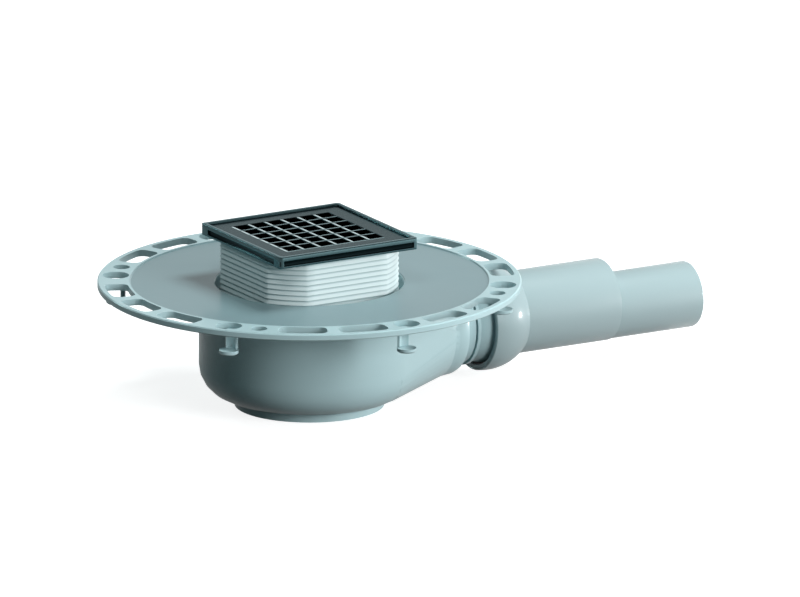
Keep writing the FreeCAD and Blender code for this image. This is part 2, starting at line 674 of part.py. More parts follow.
def make_grate():
    """Return the square plate with its grid of holes."""
    plate = square_block(FRAME_HALF - FRAME_RIM - GRATE_GAP, GRATE_CORNER_R, SEAT_TOP, GRATE_TOP)
    rim = [e for e in plate.Edges if e.BoundBox.ZMin > GRATE_TOP - 1e-3]
    plate = plate.makeChamfer(GRATE_EDGE, rim)
    start = GRATE_FIRST - FRAME_HALF
    cutters = []
    for i in range(GRATE_COUNT):
        for j in range(GRATE_COUNT):
            y = start + j * GRATE_PITCH + GRATE_SHIFT_Y
            cutters.append(grate_hole(start + i * GRATE_PITCH, y))
    return plate.cut(cutters).removeSplitter()


os.makedirs("parts", exist_ok=True)
save(make_body(), "trap_body")
save(make_funnel(), "trap_inlet_funnel")
save(make_o_ring(), "trap_o_ring")
save(make_cup(), "trap_cup")
save(make_ball_seal(), "ball_lip_seal")
save(make_retaining_ring(), "seal_retaining_ring")
save(make_spigot(), "outlet_spigot")
save(make_riser(), "riser")
save(make_riser_seal(), "riser_lip_seal")
save(make_frame(), "grate_frame")
save(make_grate(), "grate")
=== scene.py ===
"""Looks of a gully trap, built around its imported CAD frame."""

import json
import logging
import math
from dataclasses import dataclass, field
from enum import Enum

import bmesh
import bpy
from mathutils import Matrix, Vector


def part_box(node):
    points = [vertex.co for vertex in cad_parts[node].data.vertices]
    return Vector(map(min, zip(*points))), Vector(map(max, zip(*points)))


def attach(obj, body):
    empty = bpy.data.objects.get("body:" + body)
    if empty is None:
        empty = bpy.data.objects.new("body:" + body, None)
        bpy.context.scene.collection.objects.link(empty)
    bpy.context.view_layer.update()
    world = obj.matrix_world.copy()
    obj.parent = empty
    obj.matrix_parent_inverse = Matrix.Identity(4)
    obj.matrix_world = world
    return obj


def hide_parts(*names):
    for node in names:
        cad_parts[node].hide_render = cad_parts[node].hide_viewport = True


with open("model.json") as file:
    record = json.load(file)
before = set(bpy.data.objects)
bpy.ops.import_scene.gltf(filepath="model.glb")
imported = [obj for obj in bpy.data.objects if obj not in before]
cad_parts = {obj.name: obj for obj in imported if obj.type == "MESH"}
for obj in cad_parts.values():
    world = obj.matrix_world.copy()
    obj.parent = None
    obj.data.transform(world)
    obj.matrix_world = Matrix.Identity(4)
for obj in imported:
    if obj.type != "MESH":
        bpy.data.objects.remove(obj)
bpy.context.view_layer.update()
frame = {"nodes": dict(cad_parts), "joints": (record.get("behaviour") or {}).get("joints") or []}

LOG = logging.getLogger("gully_trap")
MM = 0.001
TURN = 2 * math.pi
UP = Vector((0, 0, 1))
CROSS = (Vector((1, 0, 0)), Vector((0, 1, 0)))

# Chords of the round forms
ROUND_STEPS = 160
FLAT_STEPS = 6
CORNER_STEPS = 14
FRAME_STEPS = 5
BEVEL_STEPS = 3

# Limits for edges, faces and doubled vertices
MERGE = 0.002 * MM
FLAT_ANGLE = math.radians(0.4)
SHARP_ANGLE = math.radians(32)
STEEP_ANGLE = math.radians(50)
FACING = 0.999

# The curve of sRGB: a straight toe, then a power
TOE_END, TOE_SLOPE = 0.04045, 12.92
CURVE_LIFT, CURVE_POWER = 0.055, 2.4

# Grain and tone of all finishes
FINE_DETAIL = 3.0
BROAD_SCALE, BROAD_DETAIL = 22.0, 2.0
ROUGHNESS_SPREAD = 0.04

Tree = bpy.types.NodeTree
Node = bpy.types.Node
Socket = bpy.types.NodeSocket


class Slot(Enum):
    """Material slots of the record."""

    BODY = "body_plastic"
    RISER = "riser_plastic"
    INSERT = "insert_plastic"
    STEEL = "grate_steel"
    RUBBER = "seal_rubber"

    @property
    def finish(self) -> str:
        """Name of the material that fills the slot."""
        return f"{self.value}_finish"


class Body(Enum):
    """Moving bodies of the record."""

    HOUSING = "housing"
    RISER_SEAL = "riser_seal"
    RISER = "riser"
    BALL_SEAL = "ball_seal"
    SOCKET_RING = "socket_ring"
    SPIGOT = "spigot"


def linear(red: int, green: int, blue: int) -> tuple[float, float, float, float]:
    """Turn an sRGB colour into the linear values that shader sockets take.

    Args:
        red: Red from 0 to 255.
        green: Green from 0 to 255.
        blue: Blue from 0 to 255.

    Returns:
        The linear colour with an alpha of one.
    """
    values = []
    for level in (red, green, blue):
        c = level / 255
        curved = ((c + CURVE_LIFT) / (1 + CURVE_LIFT)) ** CURVE_POWER
        values.append(c / TOE_SLOPE if c <= TOE_END else curved)
    return (values[0], values[1], values[2], 1.0)


# Shader nodes

def compute(tree: Tree, kind: str, operation: str, *values: Socket | float | tuple) -> Node:
    """Add a node that computes with its inputs.

    Args:
        tree: Node tree that takes the node.
        kind: "Math" for numbers or "VectorMath" for vectors.
        operation: What the node does.
        values: Sockets or plain values for the node's inputs, in order.

    Returns:
        The node.
    """
    node = tree.nodes.new(f"ShaderNode{kind}")
    node.operation = operation
    for socket, value in zip(node.inputs, values):
        if isinstance(value, Socket):
            tree.links.new(value, socket)
        else:
            socket.default_value = value
    return node


def number(tree: Tree, operation: str, *values: Socket | float) -> Socket:
    """Add a node that computes a number.

    Args:
        tree: Node tree that takes the node.
        operation: What the node does.
        values: Sockets or plain numbers that it works on.

    Returns:
        The socket with the result.
    """
    return compute(tree, "Math", operation, *values).outputs[0]


def all_of(tree: Tree, tests: tuple) -> Socket:
    """Join tests of values against limits.

    Args:
        tree: Node tree that takes the nodes.
        tests: Operation, value and limit of each test.

    Returns:
        The socket that is one where every test holds.
    """
    joined, *others = [number(tree, *test) for test in tests]
    for other in others:
        joined = number(tree, "MULTIPLY", joined, other)
    return joined


def split(tree: Tree, place: Socket) -> bpy.types.bpy_prop_collection:
    """Split a place or a direction into its values along the axes.

    Args:
        tree: Node tree that takes the node.
        place: The place or direction.

    Returns:
        The sockets X, Y and Z.
    """
    node = tree.nodes.new("ShaderNodeSeparateXYZ")
    tree.links.new(place, node.inputs[0])
    return node.outputs


def mix(tree: Tree, first: tuple, second: tuple) -> Node:
    """Add a node that mixes two colours.

    Args:
        tree: Node tree that takes the node.
        first: Colour at a factor of zero.
        second: Colour at a factor of one.

    Returns:
        The node.
    """
    node = tree.nodes.new("ShaderNodeMix")
    node.data_type = "RGBA"
    node.inputs["A"].default_value = (*first[:3], 1)
    node.inputs["B"].default_value = (*second[:3], 1)
    return node


def remap(tree: Tree, value: Socket, ends: tuple, levels: tuple = (0.0, 1.0)) -> Socket:
    """Add a node that maps a value from one range to another.

    Args:
        tree: Node tree that takes the node.
        value: The value.
        ends: Ends of the range that it comes from.
        levels: Results at those ends.

    Returns:
        The socket with the result.
    """
    node = tree.nodes.new("ShaderNodeMapRange")
    for name, level in zip(("From Min", "From Max", "To Min", "To Max"), (*ends, *levels)):
        node.inputs[name].default_value = level
    tree.links.new(value, node.inputs["Value"])
    return node.outputs["Result"]


def use_group(tree: Tree, group: Tree, values: tuple) -> Node:
    """Add a node that runs a shared group.

    Args:
        tree: Node tree that takes the node.
        group: The shared group.
        values: Name and value of each of its inputs.

    Returns:
        The node.
    """
    node = tree.nodes.new("ShaderNodeGroup")
    node.node_tree = group
    for name, value in values:
        node.inputs[name].default_value = value
    return node


# Shared shader groups

def new_group(name: str, numbers: tuple, vectors: tuple = (), results: tuple = ("Mask",)) -> tuple:
    """Make a shader group with nothing between its inputs and outputs.

    Args:
        name: Name of the group.
        numbers: Names of the inputs that are numbers.
        vectors: Names of the inputs that are vectors.
        results: Names of the outputs.

    Returns:
        The group, and the sockets of its inputs, of its outputs and of the object's coordinates.
    """
    group = bpy.data.node_groups.new(name, "ShaderNodeTree")
    sockets = [(label, "INPUT", "NodeSocketFloat") for label in numbers]
    sockets += [(label, "INPUT", "NodeSocketVector") for label in vectors]
    sockets += [(label, "OUTPUT", "NodeSocketFloat") for label in results]
    for label, way, kind in sockets:
        group.interface.new_socket(label, in_out=way, socket_type=kind)
    given = group.nodes.new("NodeGroupInput")
    result = group.nodes.new("NodeGroupOutput")
    place = group.nodes.new("ShaderNodeTexCoord")
    return group, given.outputs, result.inputs, place.outputs


def grain_group() -> Tree:
    """Make the fine moulded or ground grain shared by all finishes.

    Returns:
        A group with a scale and a stretch as inputs, and a height and a tone as outputs.
    """
    group, given, result, place = new_group("surface_grain", ("Scale",), ("Stretch",), ("Height", "Tone"))
    drawn = compute(group, "VectorMath", "MULTIPLY", place["Object"], given["Stretch"])
    fine = group.nodes.new("ShaderNodeTexNoise")
    fine.inputs["Detail"].default_value = FINE_DETAIL
    broad = group.nodes.new("ShaderNodeTexNoise")
    broad.inputs["Scale"].default_value = BROAD_SCALE
    broad.inputs["Detail"].default_value = BROAD_DETAIL
    group.links.new(drawn.outputs["Vector"], fine.inputs["Vector"])
    group.links.new(given["Scale"], fine.inputs["Scale"])
    group.links.new(place["Object"], broad.inputs["Vector"])
    group.links.new(fine.outputs["Fac"], result["Height"])
    group.links.new(broad.outputs["Fac"], result["Tone"])
    return group


def disc_group() -> Tree:
    """Make the mask of the flange's inner disc, which is darker than the outer ring.

    Returns:
        A group with a radius and a height as inputs and a mask as output.
    """
    group, given, result, place = new_group("inner_disc_mask", ("Radius", "Low"))
    along = split(group, place["Object"])
    level = compute(group, "VectorMath", "MULTIPLY", place["Object"], (1, 1, 0))
    radius = compute(group, "VectorMath", "LENGTH", level.outputs["Vector"]).outputs["Value"]
    tests = (("LESS_THAN", radius, given["Radius"]), ("GREATER_THAN", along["Z"], given["Low"]))
    group.links.new(all_of(group, tests), result["Mask"])
    return group


def painted_shade_group() -> Tree:
    """Make the mask of a band of heights round the axis, where grooves and holes get painted shade.

    Returns:
        A group with the band's heights and half width as inputs and a mask as output.
    """
    group, given, result, place = new_group("painted_shade_mask", ("Low", "High", "Half"))
    size = compute(group, "VectorMath", "ABSOLUTE", place["Object"])
    along = split(group, size.outputs["Vector"])
    wide = number(group, "MAXIMUM", along["X"], along["Y"])
    tests = (
        ("GREATER_THAN", along["Z"], given["Low"]), ("LESS_THAN", along["Z"], given["High"]),
        ("LESS_THAN", wide, given["Half"]),
    )
    group.links.new(all_of(group, tests), result["Mask"])
    return group


def rib_shade_group() -> Tree:
    """Make the mask of the painted shade at the roots under the riser's ribs.

    Returns:
        A group with the lowest rib's foot, the pitch and the clean share as inputs and a mask as output.
    """
    group, given, result, place = new_group("rib_root_shade_mask", ("Foot", "Pitch", "Share"))
    height = number(group, "SUBTRACT", split(group, place["Object"])["Z"], given["Foot"])
    ribs = number(group, "DIVIDE", height, given["Pitch"])
    ramp = group.nodes.new("ShaderNodeMapRange")
    ramp.interpolation_type = "SMOOTHSTEP"
    group.links.new(number(group, "FRACT", ribs), ramp.inputs["Value"])
    group.links.new(given["Share"], ramp.inputs["From Min"])
    above = number(group, "GREATER_THAN", ribs, 0.0)
    group.links.new(number(group, "MULTIPLY", ramp.outputs["Result"], above), result["Mask"])
    return group


def rim_highlight_group() -> Tree:
    """Make the mask of the painted highlights on the slopes on one side of the grate's holes.

    Returns:
        A group with the slopes' direction and the least and most lean as inputs and a mask as output.
    """
    group, given, result, place = new_group("hole_rim_highlight_mask", ("Least", "Most"), ("Along",))
    lean = compute(group, "VectorMath", "DOT_PRODUCT", place["Normal"], given["Along"]).outputs["Value"]
    tests = (("GREATER_THAN", lean, given["Least"]), ("LESS_THAN", lean, given["Most"]))
    group.links.new(all_of(group, tests), result["Mask"])
    return group


@dataclass(frozen=True)
class Layer:
    """A colour that shows through a mask.

    Attributes:
        colour: The colour in sRGB from 0 to 255.
        mask: Name of the shared mask group.
        limits: Name and value of each of the mask's inputs.
    """

    colour: tuple[int, int, int]
    mask: str
    limits: tuple[tuple[str, float | tuple], ...]


@dataclass(frozen=True)
class Finish:
    """One finish of a piece.

    Attributes:
        slot: The record's slot that the finish fills.
        colour: Base colour in sRGB from 0 to 255.
        roughness: Roughness of the plain face.
        metallic: One for metal, zero for plastic and rubber.
        coat: Weight of the clear gloss on top.
        coat_blur: Roughness of that gloss.
        gloss: Strength of the plain face's own reflection, 0.5 for common plastic.
        edge_tint: Colour of the reflection at grazing angles.
        grain_scale: Scale of the fine grain, per metre.
        grain_height: Height of the grain in metres.
        stretch: How far the grain is drawn out along each axis.
        layers: Colours that show through masks.
        part: End of the material's name where a slot has several finishes.
    """

    slot: Slot
    colour: tuple[int, int, int]
    roughness: float
    metallic: float = 0.0
    coat: float = 0.0
    coat_blur: float = 0.1
    gloss: float = 0.5
    edge_tint: tuple[float, float, float] = (1.0, 1.0, 1.0)
    grain_scale: float = 900.0
    grain_height: float = 0.02 * MM
    stretch: tuple[float, float, float] = (1.0, 1.0, 1.0)
    layers: tuple[Layer, ...] = ()
    part: str = ""

    def build(self, groups: dict[str, Tree]) -> bpy.types.Material:
        """Make the material.

        Args:
            groups: The shared shader groups by name.

        Returns:
            The material, named after its slot and its part.
        """
        material = bpy.data.materials.new(self.slot.finish + self.part)
        material.use_nodes = True
        tree = material.node_tree
        links = tree.links
        shader = tree.nodes["Principled BSDF"]
        plain = (
            ("Base Color", linear(*self.colour)), ("Metallic", self.metallic), ("Coat Weight", self.coat),
            ("Coat Roughness", self.coat_blur), ("Specular IOR Level", self.gloss),
            ("Specular Tint", (*self.edge_tint, 1)),
        )
        for name, value in plain:
            shader.inputs[name].default_value = value
        grain = use_group(tree, groups["grain"], (("Scale", self.grain_scale), ("Stretch", self.stretch)))
        bump = tree.nodes.new("ShaderNodeBump")
        bump.inputs["Distance"].default_value = self.grain_height
        links.new(grain.outputs["Height"], bump.inputs["Height"])
        links.new(bump.outputs["Normal"], shader.inputs["Normal"])
        levels = (self.roughness - ROUGHNESS_SPREAD, self.roughness + ROUGHNESS_SPREAD)
        links.new(remap(tree, grain.outputs["Tone"], (0.0, 1.0), levels), shader.inputs["Roughness"])
        colour = None
        for layer in self.layers:
            mask = use_group(tree, groups[layer.mask], layer.limits)
            blend = mix(tree, linear(*self.colour), linear(*layer.colour))
            if colour:
                links.new(colour, blend.inputs["A"])
            links.new(mask.outputs["Mask"], blend.inputs["Factor"])
            colour = blend.outputs["Result"]
        if colour:
            links.new(colour, shader.inputs["Base Color"])
        return material


DISC_LIMITS = (("Radius", 108.5 * MM), ("Low", 76.0 * MM))
# Lowest foot, pitch and unshaded share of the painted shade under the riser's ribs.
RIB_SHADE_LIMITS = (("Foot", 65.3 * MM), ("Pitch", 3.2 * MM), ("Share", 0.5))
# Heights and half widths of the painted shade in the frame's side grooves and in the grate's holes.
GROOVE_SHADE_LIMITS = (("Low", 102.35 * MM), ("High", 105.45 * MM), ("Half", 47.6 * MM))
HOLE_SHADE_LIMITS = (("Low", 102.0 * MM), ("High", 107.6 * MM), ("Half", 44.0 * MM))
# Lean limits of the painted highlights on the grate's hole slopes, by the direction that they lean to.
RIM_X_HIGHLIGHT = (("Along", (1, 0, 0)), ("Least", 0.1), ("Most", 0.4))
RIM_Y_HIGHLIGHT = (("Along", (0, 1, 0)), ("Least", 0.05), ("Most", 0.4))
# Dark colour painted into the frame's side grooves and the grate's holes as shade.
PAINTED_SHADE_COLOUR = (16, 26, 28)
STEEL = {
    "roughness": 0.16, "metallic": 1.0, "edge_tint": (0.8, 0.93, 0.96), "grain_scale": 500.0,
    "stretch": (1.0, 8.0, 8.0),
}

FINISHES = (
    Finish(
        Slot.BODY, (171, 198, 202), 0.35, coat=0.3, gloss=0.25,
        layers=(Layer((121, 146, 151), "disc", DISC_LIMITS),),
    ),
    Finish(Slot.BODY, (153, 172, 175), 0.38, coat=0.5, coat_blur=0.16, gloss=0.2, part="_spigot"),
    Finish(
        Slot.RISER, (206, 220, 221), 0.4, coat=0.1, gloss=0.25,
        # A darker colour painted at the root under each rib as shade.
        layers=(Layer((150, 173, 177), "rib", RIB_SHADE_LIMITS),),
    ),
    Finish(Slot.INSERT, (150, 170, 174), 0.42),
    # The frame's side grooves, and its seat and inner wall under the grate, get painted shade.
    Finish(Slot.STEEL, (82, 107, 111), **STEEL, layers=(Layer(PAINTED_SHADE_COLOUR, "painted_shade", GROOVE_SHADE_LIMITS),)),
    Finish(
        Slot.STEEL, (70, 96, 100), **STEEL, part="_grate",
        layers=(
            # The walls of the grate's holes and its underside get painted shade.
            Layer(PAINTED_SHADE_COLOUR, "painted_shade", HOLE_SHADE_LIMITS),
            # Light grey painted on the hole slopes that lean to +Y, as a highlight.
            Layer((112, 140, 143), "rim", RIM_Y_HIGHLIGHT),
            # Near white painted on the hole slopes that lean to +X, as a highlight.
            Layer((240, 248, 248), "rim", RIM_X_HIGHLIGHT),
        ),
    ),
    Finish(Slot.RUBBER, (22, 24, 25), 0.55, grain_height=0.04 * MM),
)


# Mesh helpers

def sphere_part(radius: float, first: float, last: float, steps: int) -> list[tuple[float, float]]:
    """Return points along a circle about the joint's centre.

    Args:
        radius: Radius in millimetres.
        first: Angle of the first point from the axis, in degrees.
        last: Angle of the last point.
        steps: Number of chords.

    Returns:
        The points as (along the axis, out from it) in millimetres.
    """
    angles = [math.radians(first + (last - first) * i / steps) for i in range(steps + 1)]
    return [(radius * math.cos(a), radius * math.sin(a)) for a in angles]


def spin(bm: bmesh.types.BMesh, points: list[Vector], centre: Vector) -> None:
    """Turn a closed profile once about an upright axis.

    Args:
        bm: Mesh that takes the turned form.
        points: Profile points as (height, distance from the axis).
        centre: Point on the axis from which the profile counts.
    """
    verts = [bm.verts.new(centre + UP * p.x + CROSS[0] * p.y) for p in points]
    edges = [bm.edges.new(pair) for pair in zip(verts, verts[1:] + verts[:1])]
    bmesh.ops.spin(
        bm, geom=verts + edges, cent=centre, axis=UP, angle=TURN, steps=ROUND_STEPS, use_merge=True
    )
    bmesh.ops.remove_doubles(bm, verts=bm.verts, dist=MERGE)
    bmesh.ops.recalc_face_normals(bm, faces=bm.faces)


def skin(bm: bmesh.types.BMesh, rings: list[list[Vector]]) -> None:
    """Stretch faces from each ring of points to the next, and from the last to the first.

    Args:
        bm: Mesh that takes the faces.
        rings: Rings with equal numbers of points.
    """
    verts = [bm.verts.new(p) for p in rings[0]]
    edges = [bm.edges.new((v, verts[(i + 1) % len(verts)])) for i, v in enumerate(verts)]
    for ring in rings[1:] + rings[:1]:
        raised = bmesh.ops.extrude_edge_only(bm, edges=edges)["geom"]
        new = {g for g in raised if isinstance(g, bmesh.types.BMVert)}
        verts = [next(e.other_vert(v) for e in v.link_edges if e.other_vert(v) in new) for v in verts]
        edges = [g for g in raised if isinstance(g, bmesh.types.BMEdge) and new.issuperset(g.verts)]
        for vert, point in zip(verts, ring):
            vert.co = point
    bmesh.ops.remove_doubles(bm, verts=bm.verts, dist=MERGE)
    bmesh.ops.recalc_face_normals(bm, faces=bm.faces)


def ring_point(radius: float, angle: float, height: float) -> Vector:
    """Return a point about the Z axis.

    Args:
        radius: Distance from the axis in millimetres.
        angle: Angle from X in radians.
        height: Height in metres.

    Returns:
        The point in metres.
    """
    return Vector((radius * MM * math.cos(angle), radius * MM * math.sin(angle), height))


def circle(centre: Vector, radius: float) -> list[Vector]:
    """Return points round a circle that faces along X.

    Args:
        centre: Its centre in metres.
        radius: Its radius in metres.

    Returns:
        The points, the first one straight above the centre.
    """
    points = []
    for i in range(ROUND_STEPS):
        a = TURN * i / ROUND_STEPS
        points.append(centre + Vector((0, radius * math.sin(a), radius * math.cos(a))))
    return points


def shade(bm: bmesh.types.BMesh, sharp: float = SHARP_ANGLE) -> None:
    """Shade a mesh smooth, with sharp edges where its faces turn steeply.

    Args:
        bm: Mesh to shade.
        sharp: Angle in radians from which an edge is sharp.
    """
    for face in bm.faces:
        face.smooth = True
    for edge in bm.edges:
        edge.smooth = edge.calc_face_angle(0.0) < sharp


def soften(bm: bmesh.types.BMesh, edges: list[bmesh.types.BMEdge], width: float) -> None:
    """Round edges of a mesh.

    Args:
        bm: Mesh to change.
        edges: The edges to round.
        width: Width of the rounding in metres.
    """
    bmesh.ops.bevel(
        bm, geom=edges, offset=width, offset_type="OFFSET", segments=BEVEL_STEPS, profile=0.5,
        affect="EDGES", clamp_overlap=True, material=-1,
    )


def steep_edges(bm: bmesh.types.BMesh) -> list[bmesh.types.BMEdge]:
    """Return the edges where two faces meet steeply.

    Args:
        bm: Mesh to search.

    Returns:
        The edges.
    """
    bm.normal_update()
    return [e for e in bm.edges if e.is_manifold and e.calc_face_angle(0.0) > STEEP_ANGLE]


def level_edges(edges: list[bmesh.types.BMEdge], height: float) -> list[bmesh.types.BMEdge]:
    """Return the edges that lie at a height.

    Args:
        edges: Edges to choose from.
        height: The height in metres.

    Returns:
        The chosen edges.
    """
    return [e for e in edges if all(abs(v.co.z - height) < 2 * MERGE for v in e.verts)]


def reach(edge: bmesh.types.BMEdge) -> float:
    """Return how far an edge reaches from the Z axis.

    Args:
        edge: The edge.

    Returns:
        The largest distance of its ends along X or Y, in metres.
    """
    return max(abs(c) for v in edge.verts for c in v.co.xy)


def slice_mesh(bm: bmesh.types.BMesh, place: Vector, normal: Vector) -> None:
    """Cut all faces of a mesh along a plane and keep both sides.

    Args:
        bm: Mesh to cut.
        place: Point on the plane.
        normal: Direction of the plane.
    """
    geom = list(bm.verts) + list(bm.edges) + list(bm.faces)
    bmesh.ops.bisect_plane(bm, geom=geom, plane_co=place, plane_no=normal)


def cad_copy(node: str) -> bmesh.types.BMesh:
    """Return a merged copy of a CAD node's mesh.

    Args:
        node: Name of the node.

    Returns:
        The copy, with flat faces joined.
    """
    bm = bmesh.new()
    bm.from_mesh(frame["nodes"][node].data)
    bmesh.ops.remove_doubles(bm, verts=bm.verts, dist=MERGE)
    bmesh.ops.dissolve_limit(bm, angle_limit=FLAT_ANGLE, verts=bm.verts, edges=bm.edges)
    bmesh.ops.recalc_face_normals(bm, faces=bm.faces)
    return bm


def add_object(name: str, data: bpy.types.ID) -> bpy.types.Object:
    """Add an object to the scene.

    Args:
        name: Name of the object.
        data: Its mesh, lamp or camera.

    Returns:
        The object.
    """
    thing = bpy.data.objects.new(name, data)
    bpy.context.scene.collection.objects.link(thing)
    return thing


def add_piece(
    bm: bmesh.types.BMesh, name: str, slot: Slot, body: Body, node: str,
    part: str = "", sharp: float = SHARP_ANGLE,
) -> bpy.types.Object:
    """Turn a mesh into a piece of the object.

    Args:
        bm: The finished mesh, freed here.
        name: Name of the piece.
        slot: Finish of the piece.
        body: Body that carries the piece.
        node: CAD node that the piece stands for.
        part: Which of the slot's finishes it takes.
        sharp: Angle in radians from which an edge is sharp.

    Returns:
        The new object.
    """
    shade(bm, sharp)
    mesh = bpy.data.meshes.new(name)
    bm.to_mesh(mesh)
    bm.free()
    mesh.materials.append(bpy.data.materials[slot.finish + part])
    piece = add_object(name, mesh)
    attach(piece, body.value)
    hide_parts(node)
    LOG.info("%s: %d faces on %s", name, len(mesh.polygons), body.value)
    return piece


def joint_centre(name: str) -> Vector:
    """Return the place of a joint of the record.

    Args:
        name: Name of the joint.

    Returns:
        The point in metres.
    """
    joint = next(j for j in frame["joints"] if j["name"] == name)
    return Vector(joint["pos_m"])


# Sub-assemblies

@dataclass
class MouldedBody:
    """The bowl, flange, brackets and joint ball in one moulding.

    Attributes:
        node: CAD node that holds its form.
    """

    node: str = "trap_body"

    def build(self) -> None:
        """Make the moulding from its CAD form."""
        add_piece(cad_copy(self.node), "body_shell", Slot.BODY, Body.HOUSING, self.node)


@dataclass
class WaterSeal:
    """The lift-out insert: funnel, cup and rubber ring.

    Attributes:
        ring_steps: Chords round the rubber ring's section.
    """

    ring_steps: int = 16

    def build(self) -> None:
        """Make the three pieces."""
        for node, name in (("trap_inlet_funnel", "funnel"), ("trap_cup", "cup")):
            add_piece(cad_copy(node), name, Slot.INSERT, Body.HOUSING, node)
        self.build_ring()

    def build_ring(self) -> None:
        """Make the round rubber ring."""
        low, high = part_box("trap_o_ring")
        thick = 0.5 * (high.z - low.z)
        centre = Vector((0, 0, 0.5 * (high.z + low.z)))
        points = []
        for i in range(self.ring_steps):
            a = TURN * i / self.ring_steps
            points.append(Vector((thick * math.sin(a), high.x - thick + thick * math.cos(a))))
        bm = bmesh.new()
        spin(bm, points, centre)
        add_piece(bm, "seal_ring", Slot.RUBBER, Body.HOUSING, "trap_o_ring")


@dataclass
class Riser:
    """The ribbed riser tube and its lip seal.

    Attributes:
        round_r: Radius of the four rounded corners in millimetres.
        flat: Distance of the four flat sides from the axis.
        wall: Wall thickness behind the ribs.
        rib_pitch: Height of one rib.
        rib_depth: How far a rib stands out.
        rib_count: Number of ribs.
        rib_top: Top of the highest rib below the tube's top edge.
        collar_r: Radius of the lower collar.
        groove_r: Radius of the bottom of the seal groove.
        groove_low: Foot of the groove above the tube's lower edge.
        groove_high: Top of the groove above the tube's lower edge.
        nose: Rounding of a rib's lower edge.
        nose_share: Where that rounding is halfway, as a share of it.
        collar_edge: Chamfer of the collar's lower edge.
        top_edge: Chamfer of the tube's top edge.
    """

    round_r: float = 54.0
    flat: float = 46.4
    wall: float = 1.9
    rib_pitch: float = 3.2
    rib_depth: float = 0.9
    rib_count: int = 11
    rib_top: float = 0.5
    collar_r: float = 55.8
    groove_r: float = 53.2
    groove_low: float = 1.3
    groove_high: float = 4.1
    nose: float = 0.25
    nose_share: float = 0.3
    collar_edge: float = 0.6
    top_edge: float = 0.3

    def outline(self, offset: float, height: float) -> list[Vector]:
        """Return the outline of the tube, a circle cut by four flats.

        Args:
            offset: How far it is moved out, in millimetres.
            height: Height in metres.

        Returns:
            The points of the ring.
        """
        radius = self.round_r + offset
        flat = self.flat + offset
        edge = math.acos(self.flat / self.round_r)
        points = []
        for quarter in range(4):
            middle = quarter * TURN / 4
            for share in range(-FLAT_STEPS, FLAT_STEPS):
                a = edge * share / FLAT_STEPS
                points.append(ring_point(flat / math.cos(a), middle + a, height))
            for share in range(CORNER_STEPS):
                a = edge + (TURN / 4 - 2 * edge) * share / CORNER_STEPS
                out = min(radius, flat / math.cos(min(a, TURN / 4 - a)))
                points.append(ring_point(out, middle + a, height))
        return points

    def circle(self, radius: float, height: float) -> list[Vector]:
        """Return a round ring with as many points as the outline.

        Args:
            radius: Radius in millimetres.
            height: Height in metres.

        Returns:
            The points of the ring.
        """
        return [ring_point(radius, math.atan2(p.y, p.x), height) for p in self.outline(0.0, height)]

    def build(self) -> None:
        """Make the tube and its seal."""
        low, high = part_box("riser")
        ribs = high.z - self.rib_top * MM
        rib_foot = ribs - self.rib_count * self.rib_pitch * MM
        g0 = low.z + self.groove_low * MM
        g1 = low.z + self.groove_high * MM
        halfway = self.nose_share * self.nose
        bare = -self.rib_depth
        collar = (
            (self.collar_r - self.collar_edge, low.z), (self.collar_r, low.z + self.collar_edge * MM),
            (self.collar_r, g0), (self.groove_r, g0), (self.groove_r, g1), (self.collar_r, g1),
            (self.collar_r, rib_foot),
        )
        rib = ((-self.nose, 0.0), (-halfway, halfway), (0.0, self.nose), (bare, self.rib_pitch))
        edge = (
            (bare, high.z - self.top_edge * MM), (bare - self.top_edge, high.z),
            (bare - self.wall, high.z), (bare - self.wall, low.z),
        )
        rings = [self.circle(*ring) for ring in collar]
        rings.append(self.outline(0.0, rib_foot))
        for i in range(self.rib_count):
            foot = rib_foot + i * self.rib_pitch * MM
            rings += [self.outline(offset, foot + rise * MM) for offset, rise in rib]
        rings += [self.outline(*ring) for ring in edge]
        bm = bmesh.new()
        skin(bm, rings)
        add_piece(bm, "riser_tube", Slot.RISER, Body.RISER, "riser")
        seal = cad_copy("riser_lip_seal")
        add_piece(seal, "riser_seal_ring", Slot.RUBBER, Body.RISER_SEAL, "riser_lip_seal")


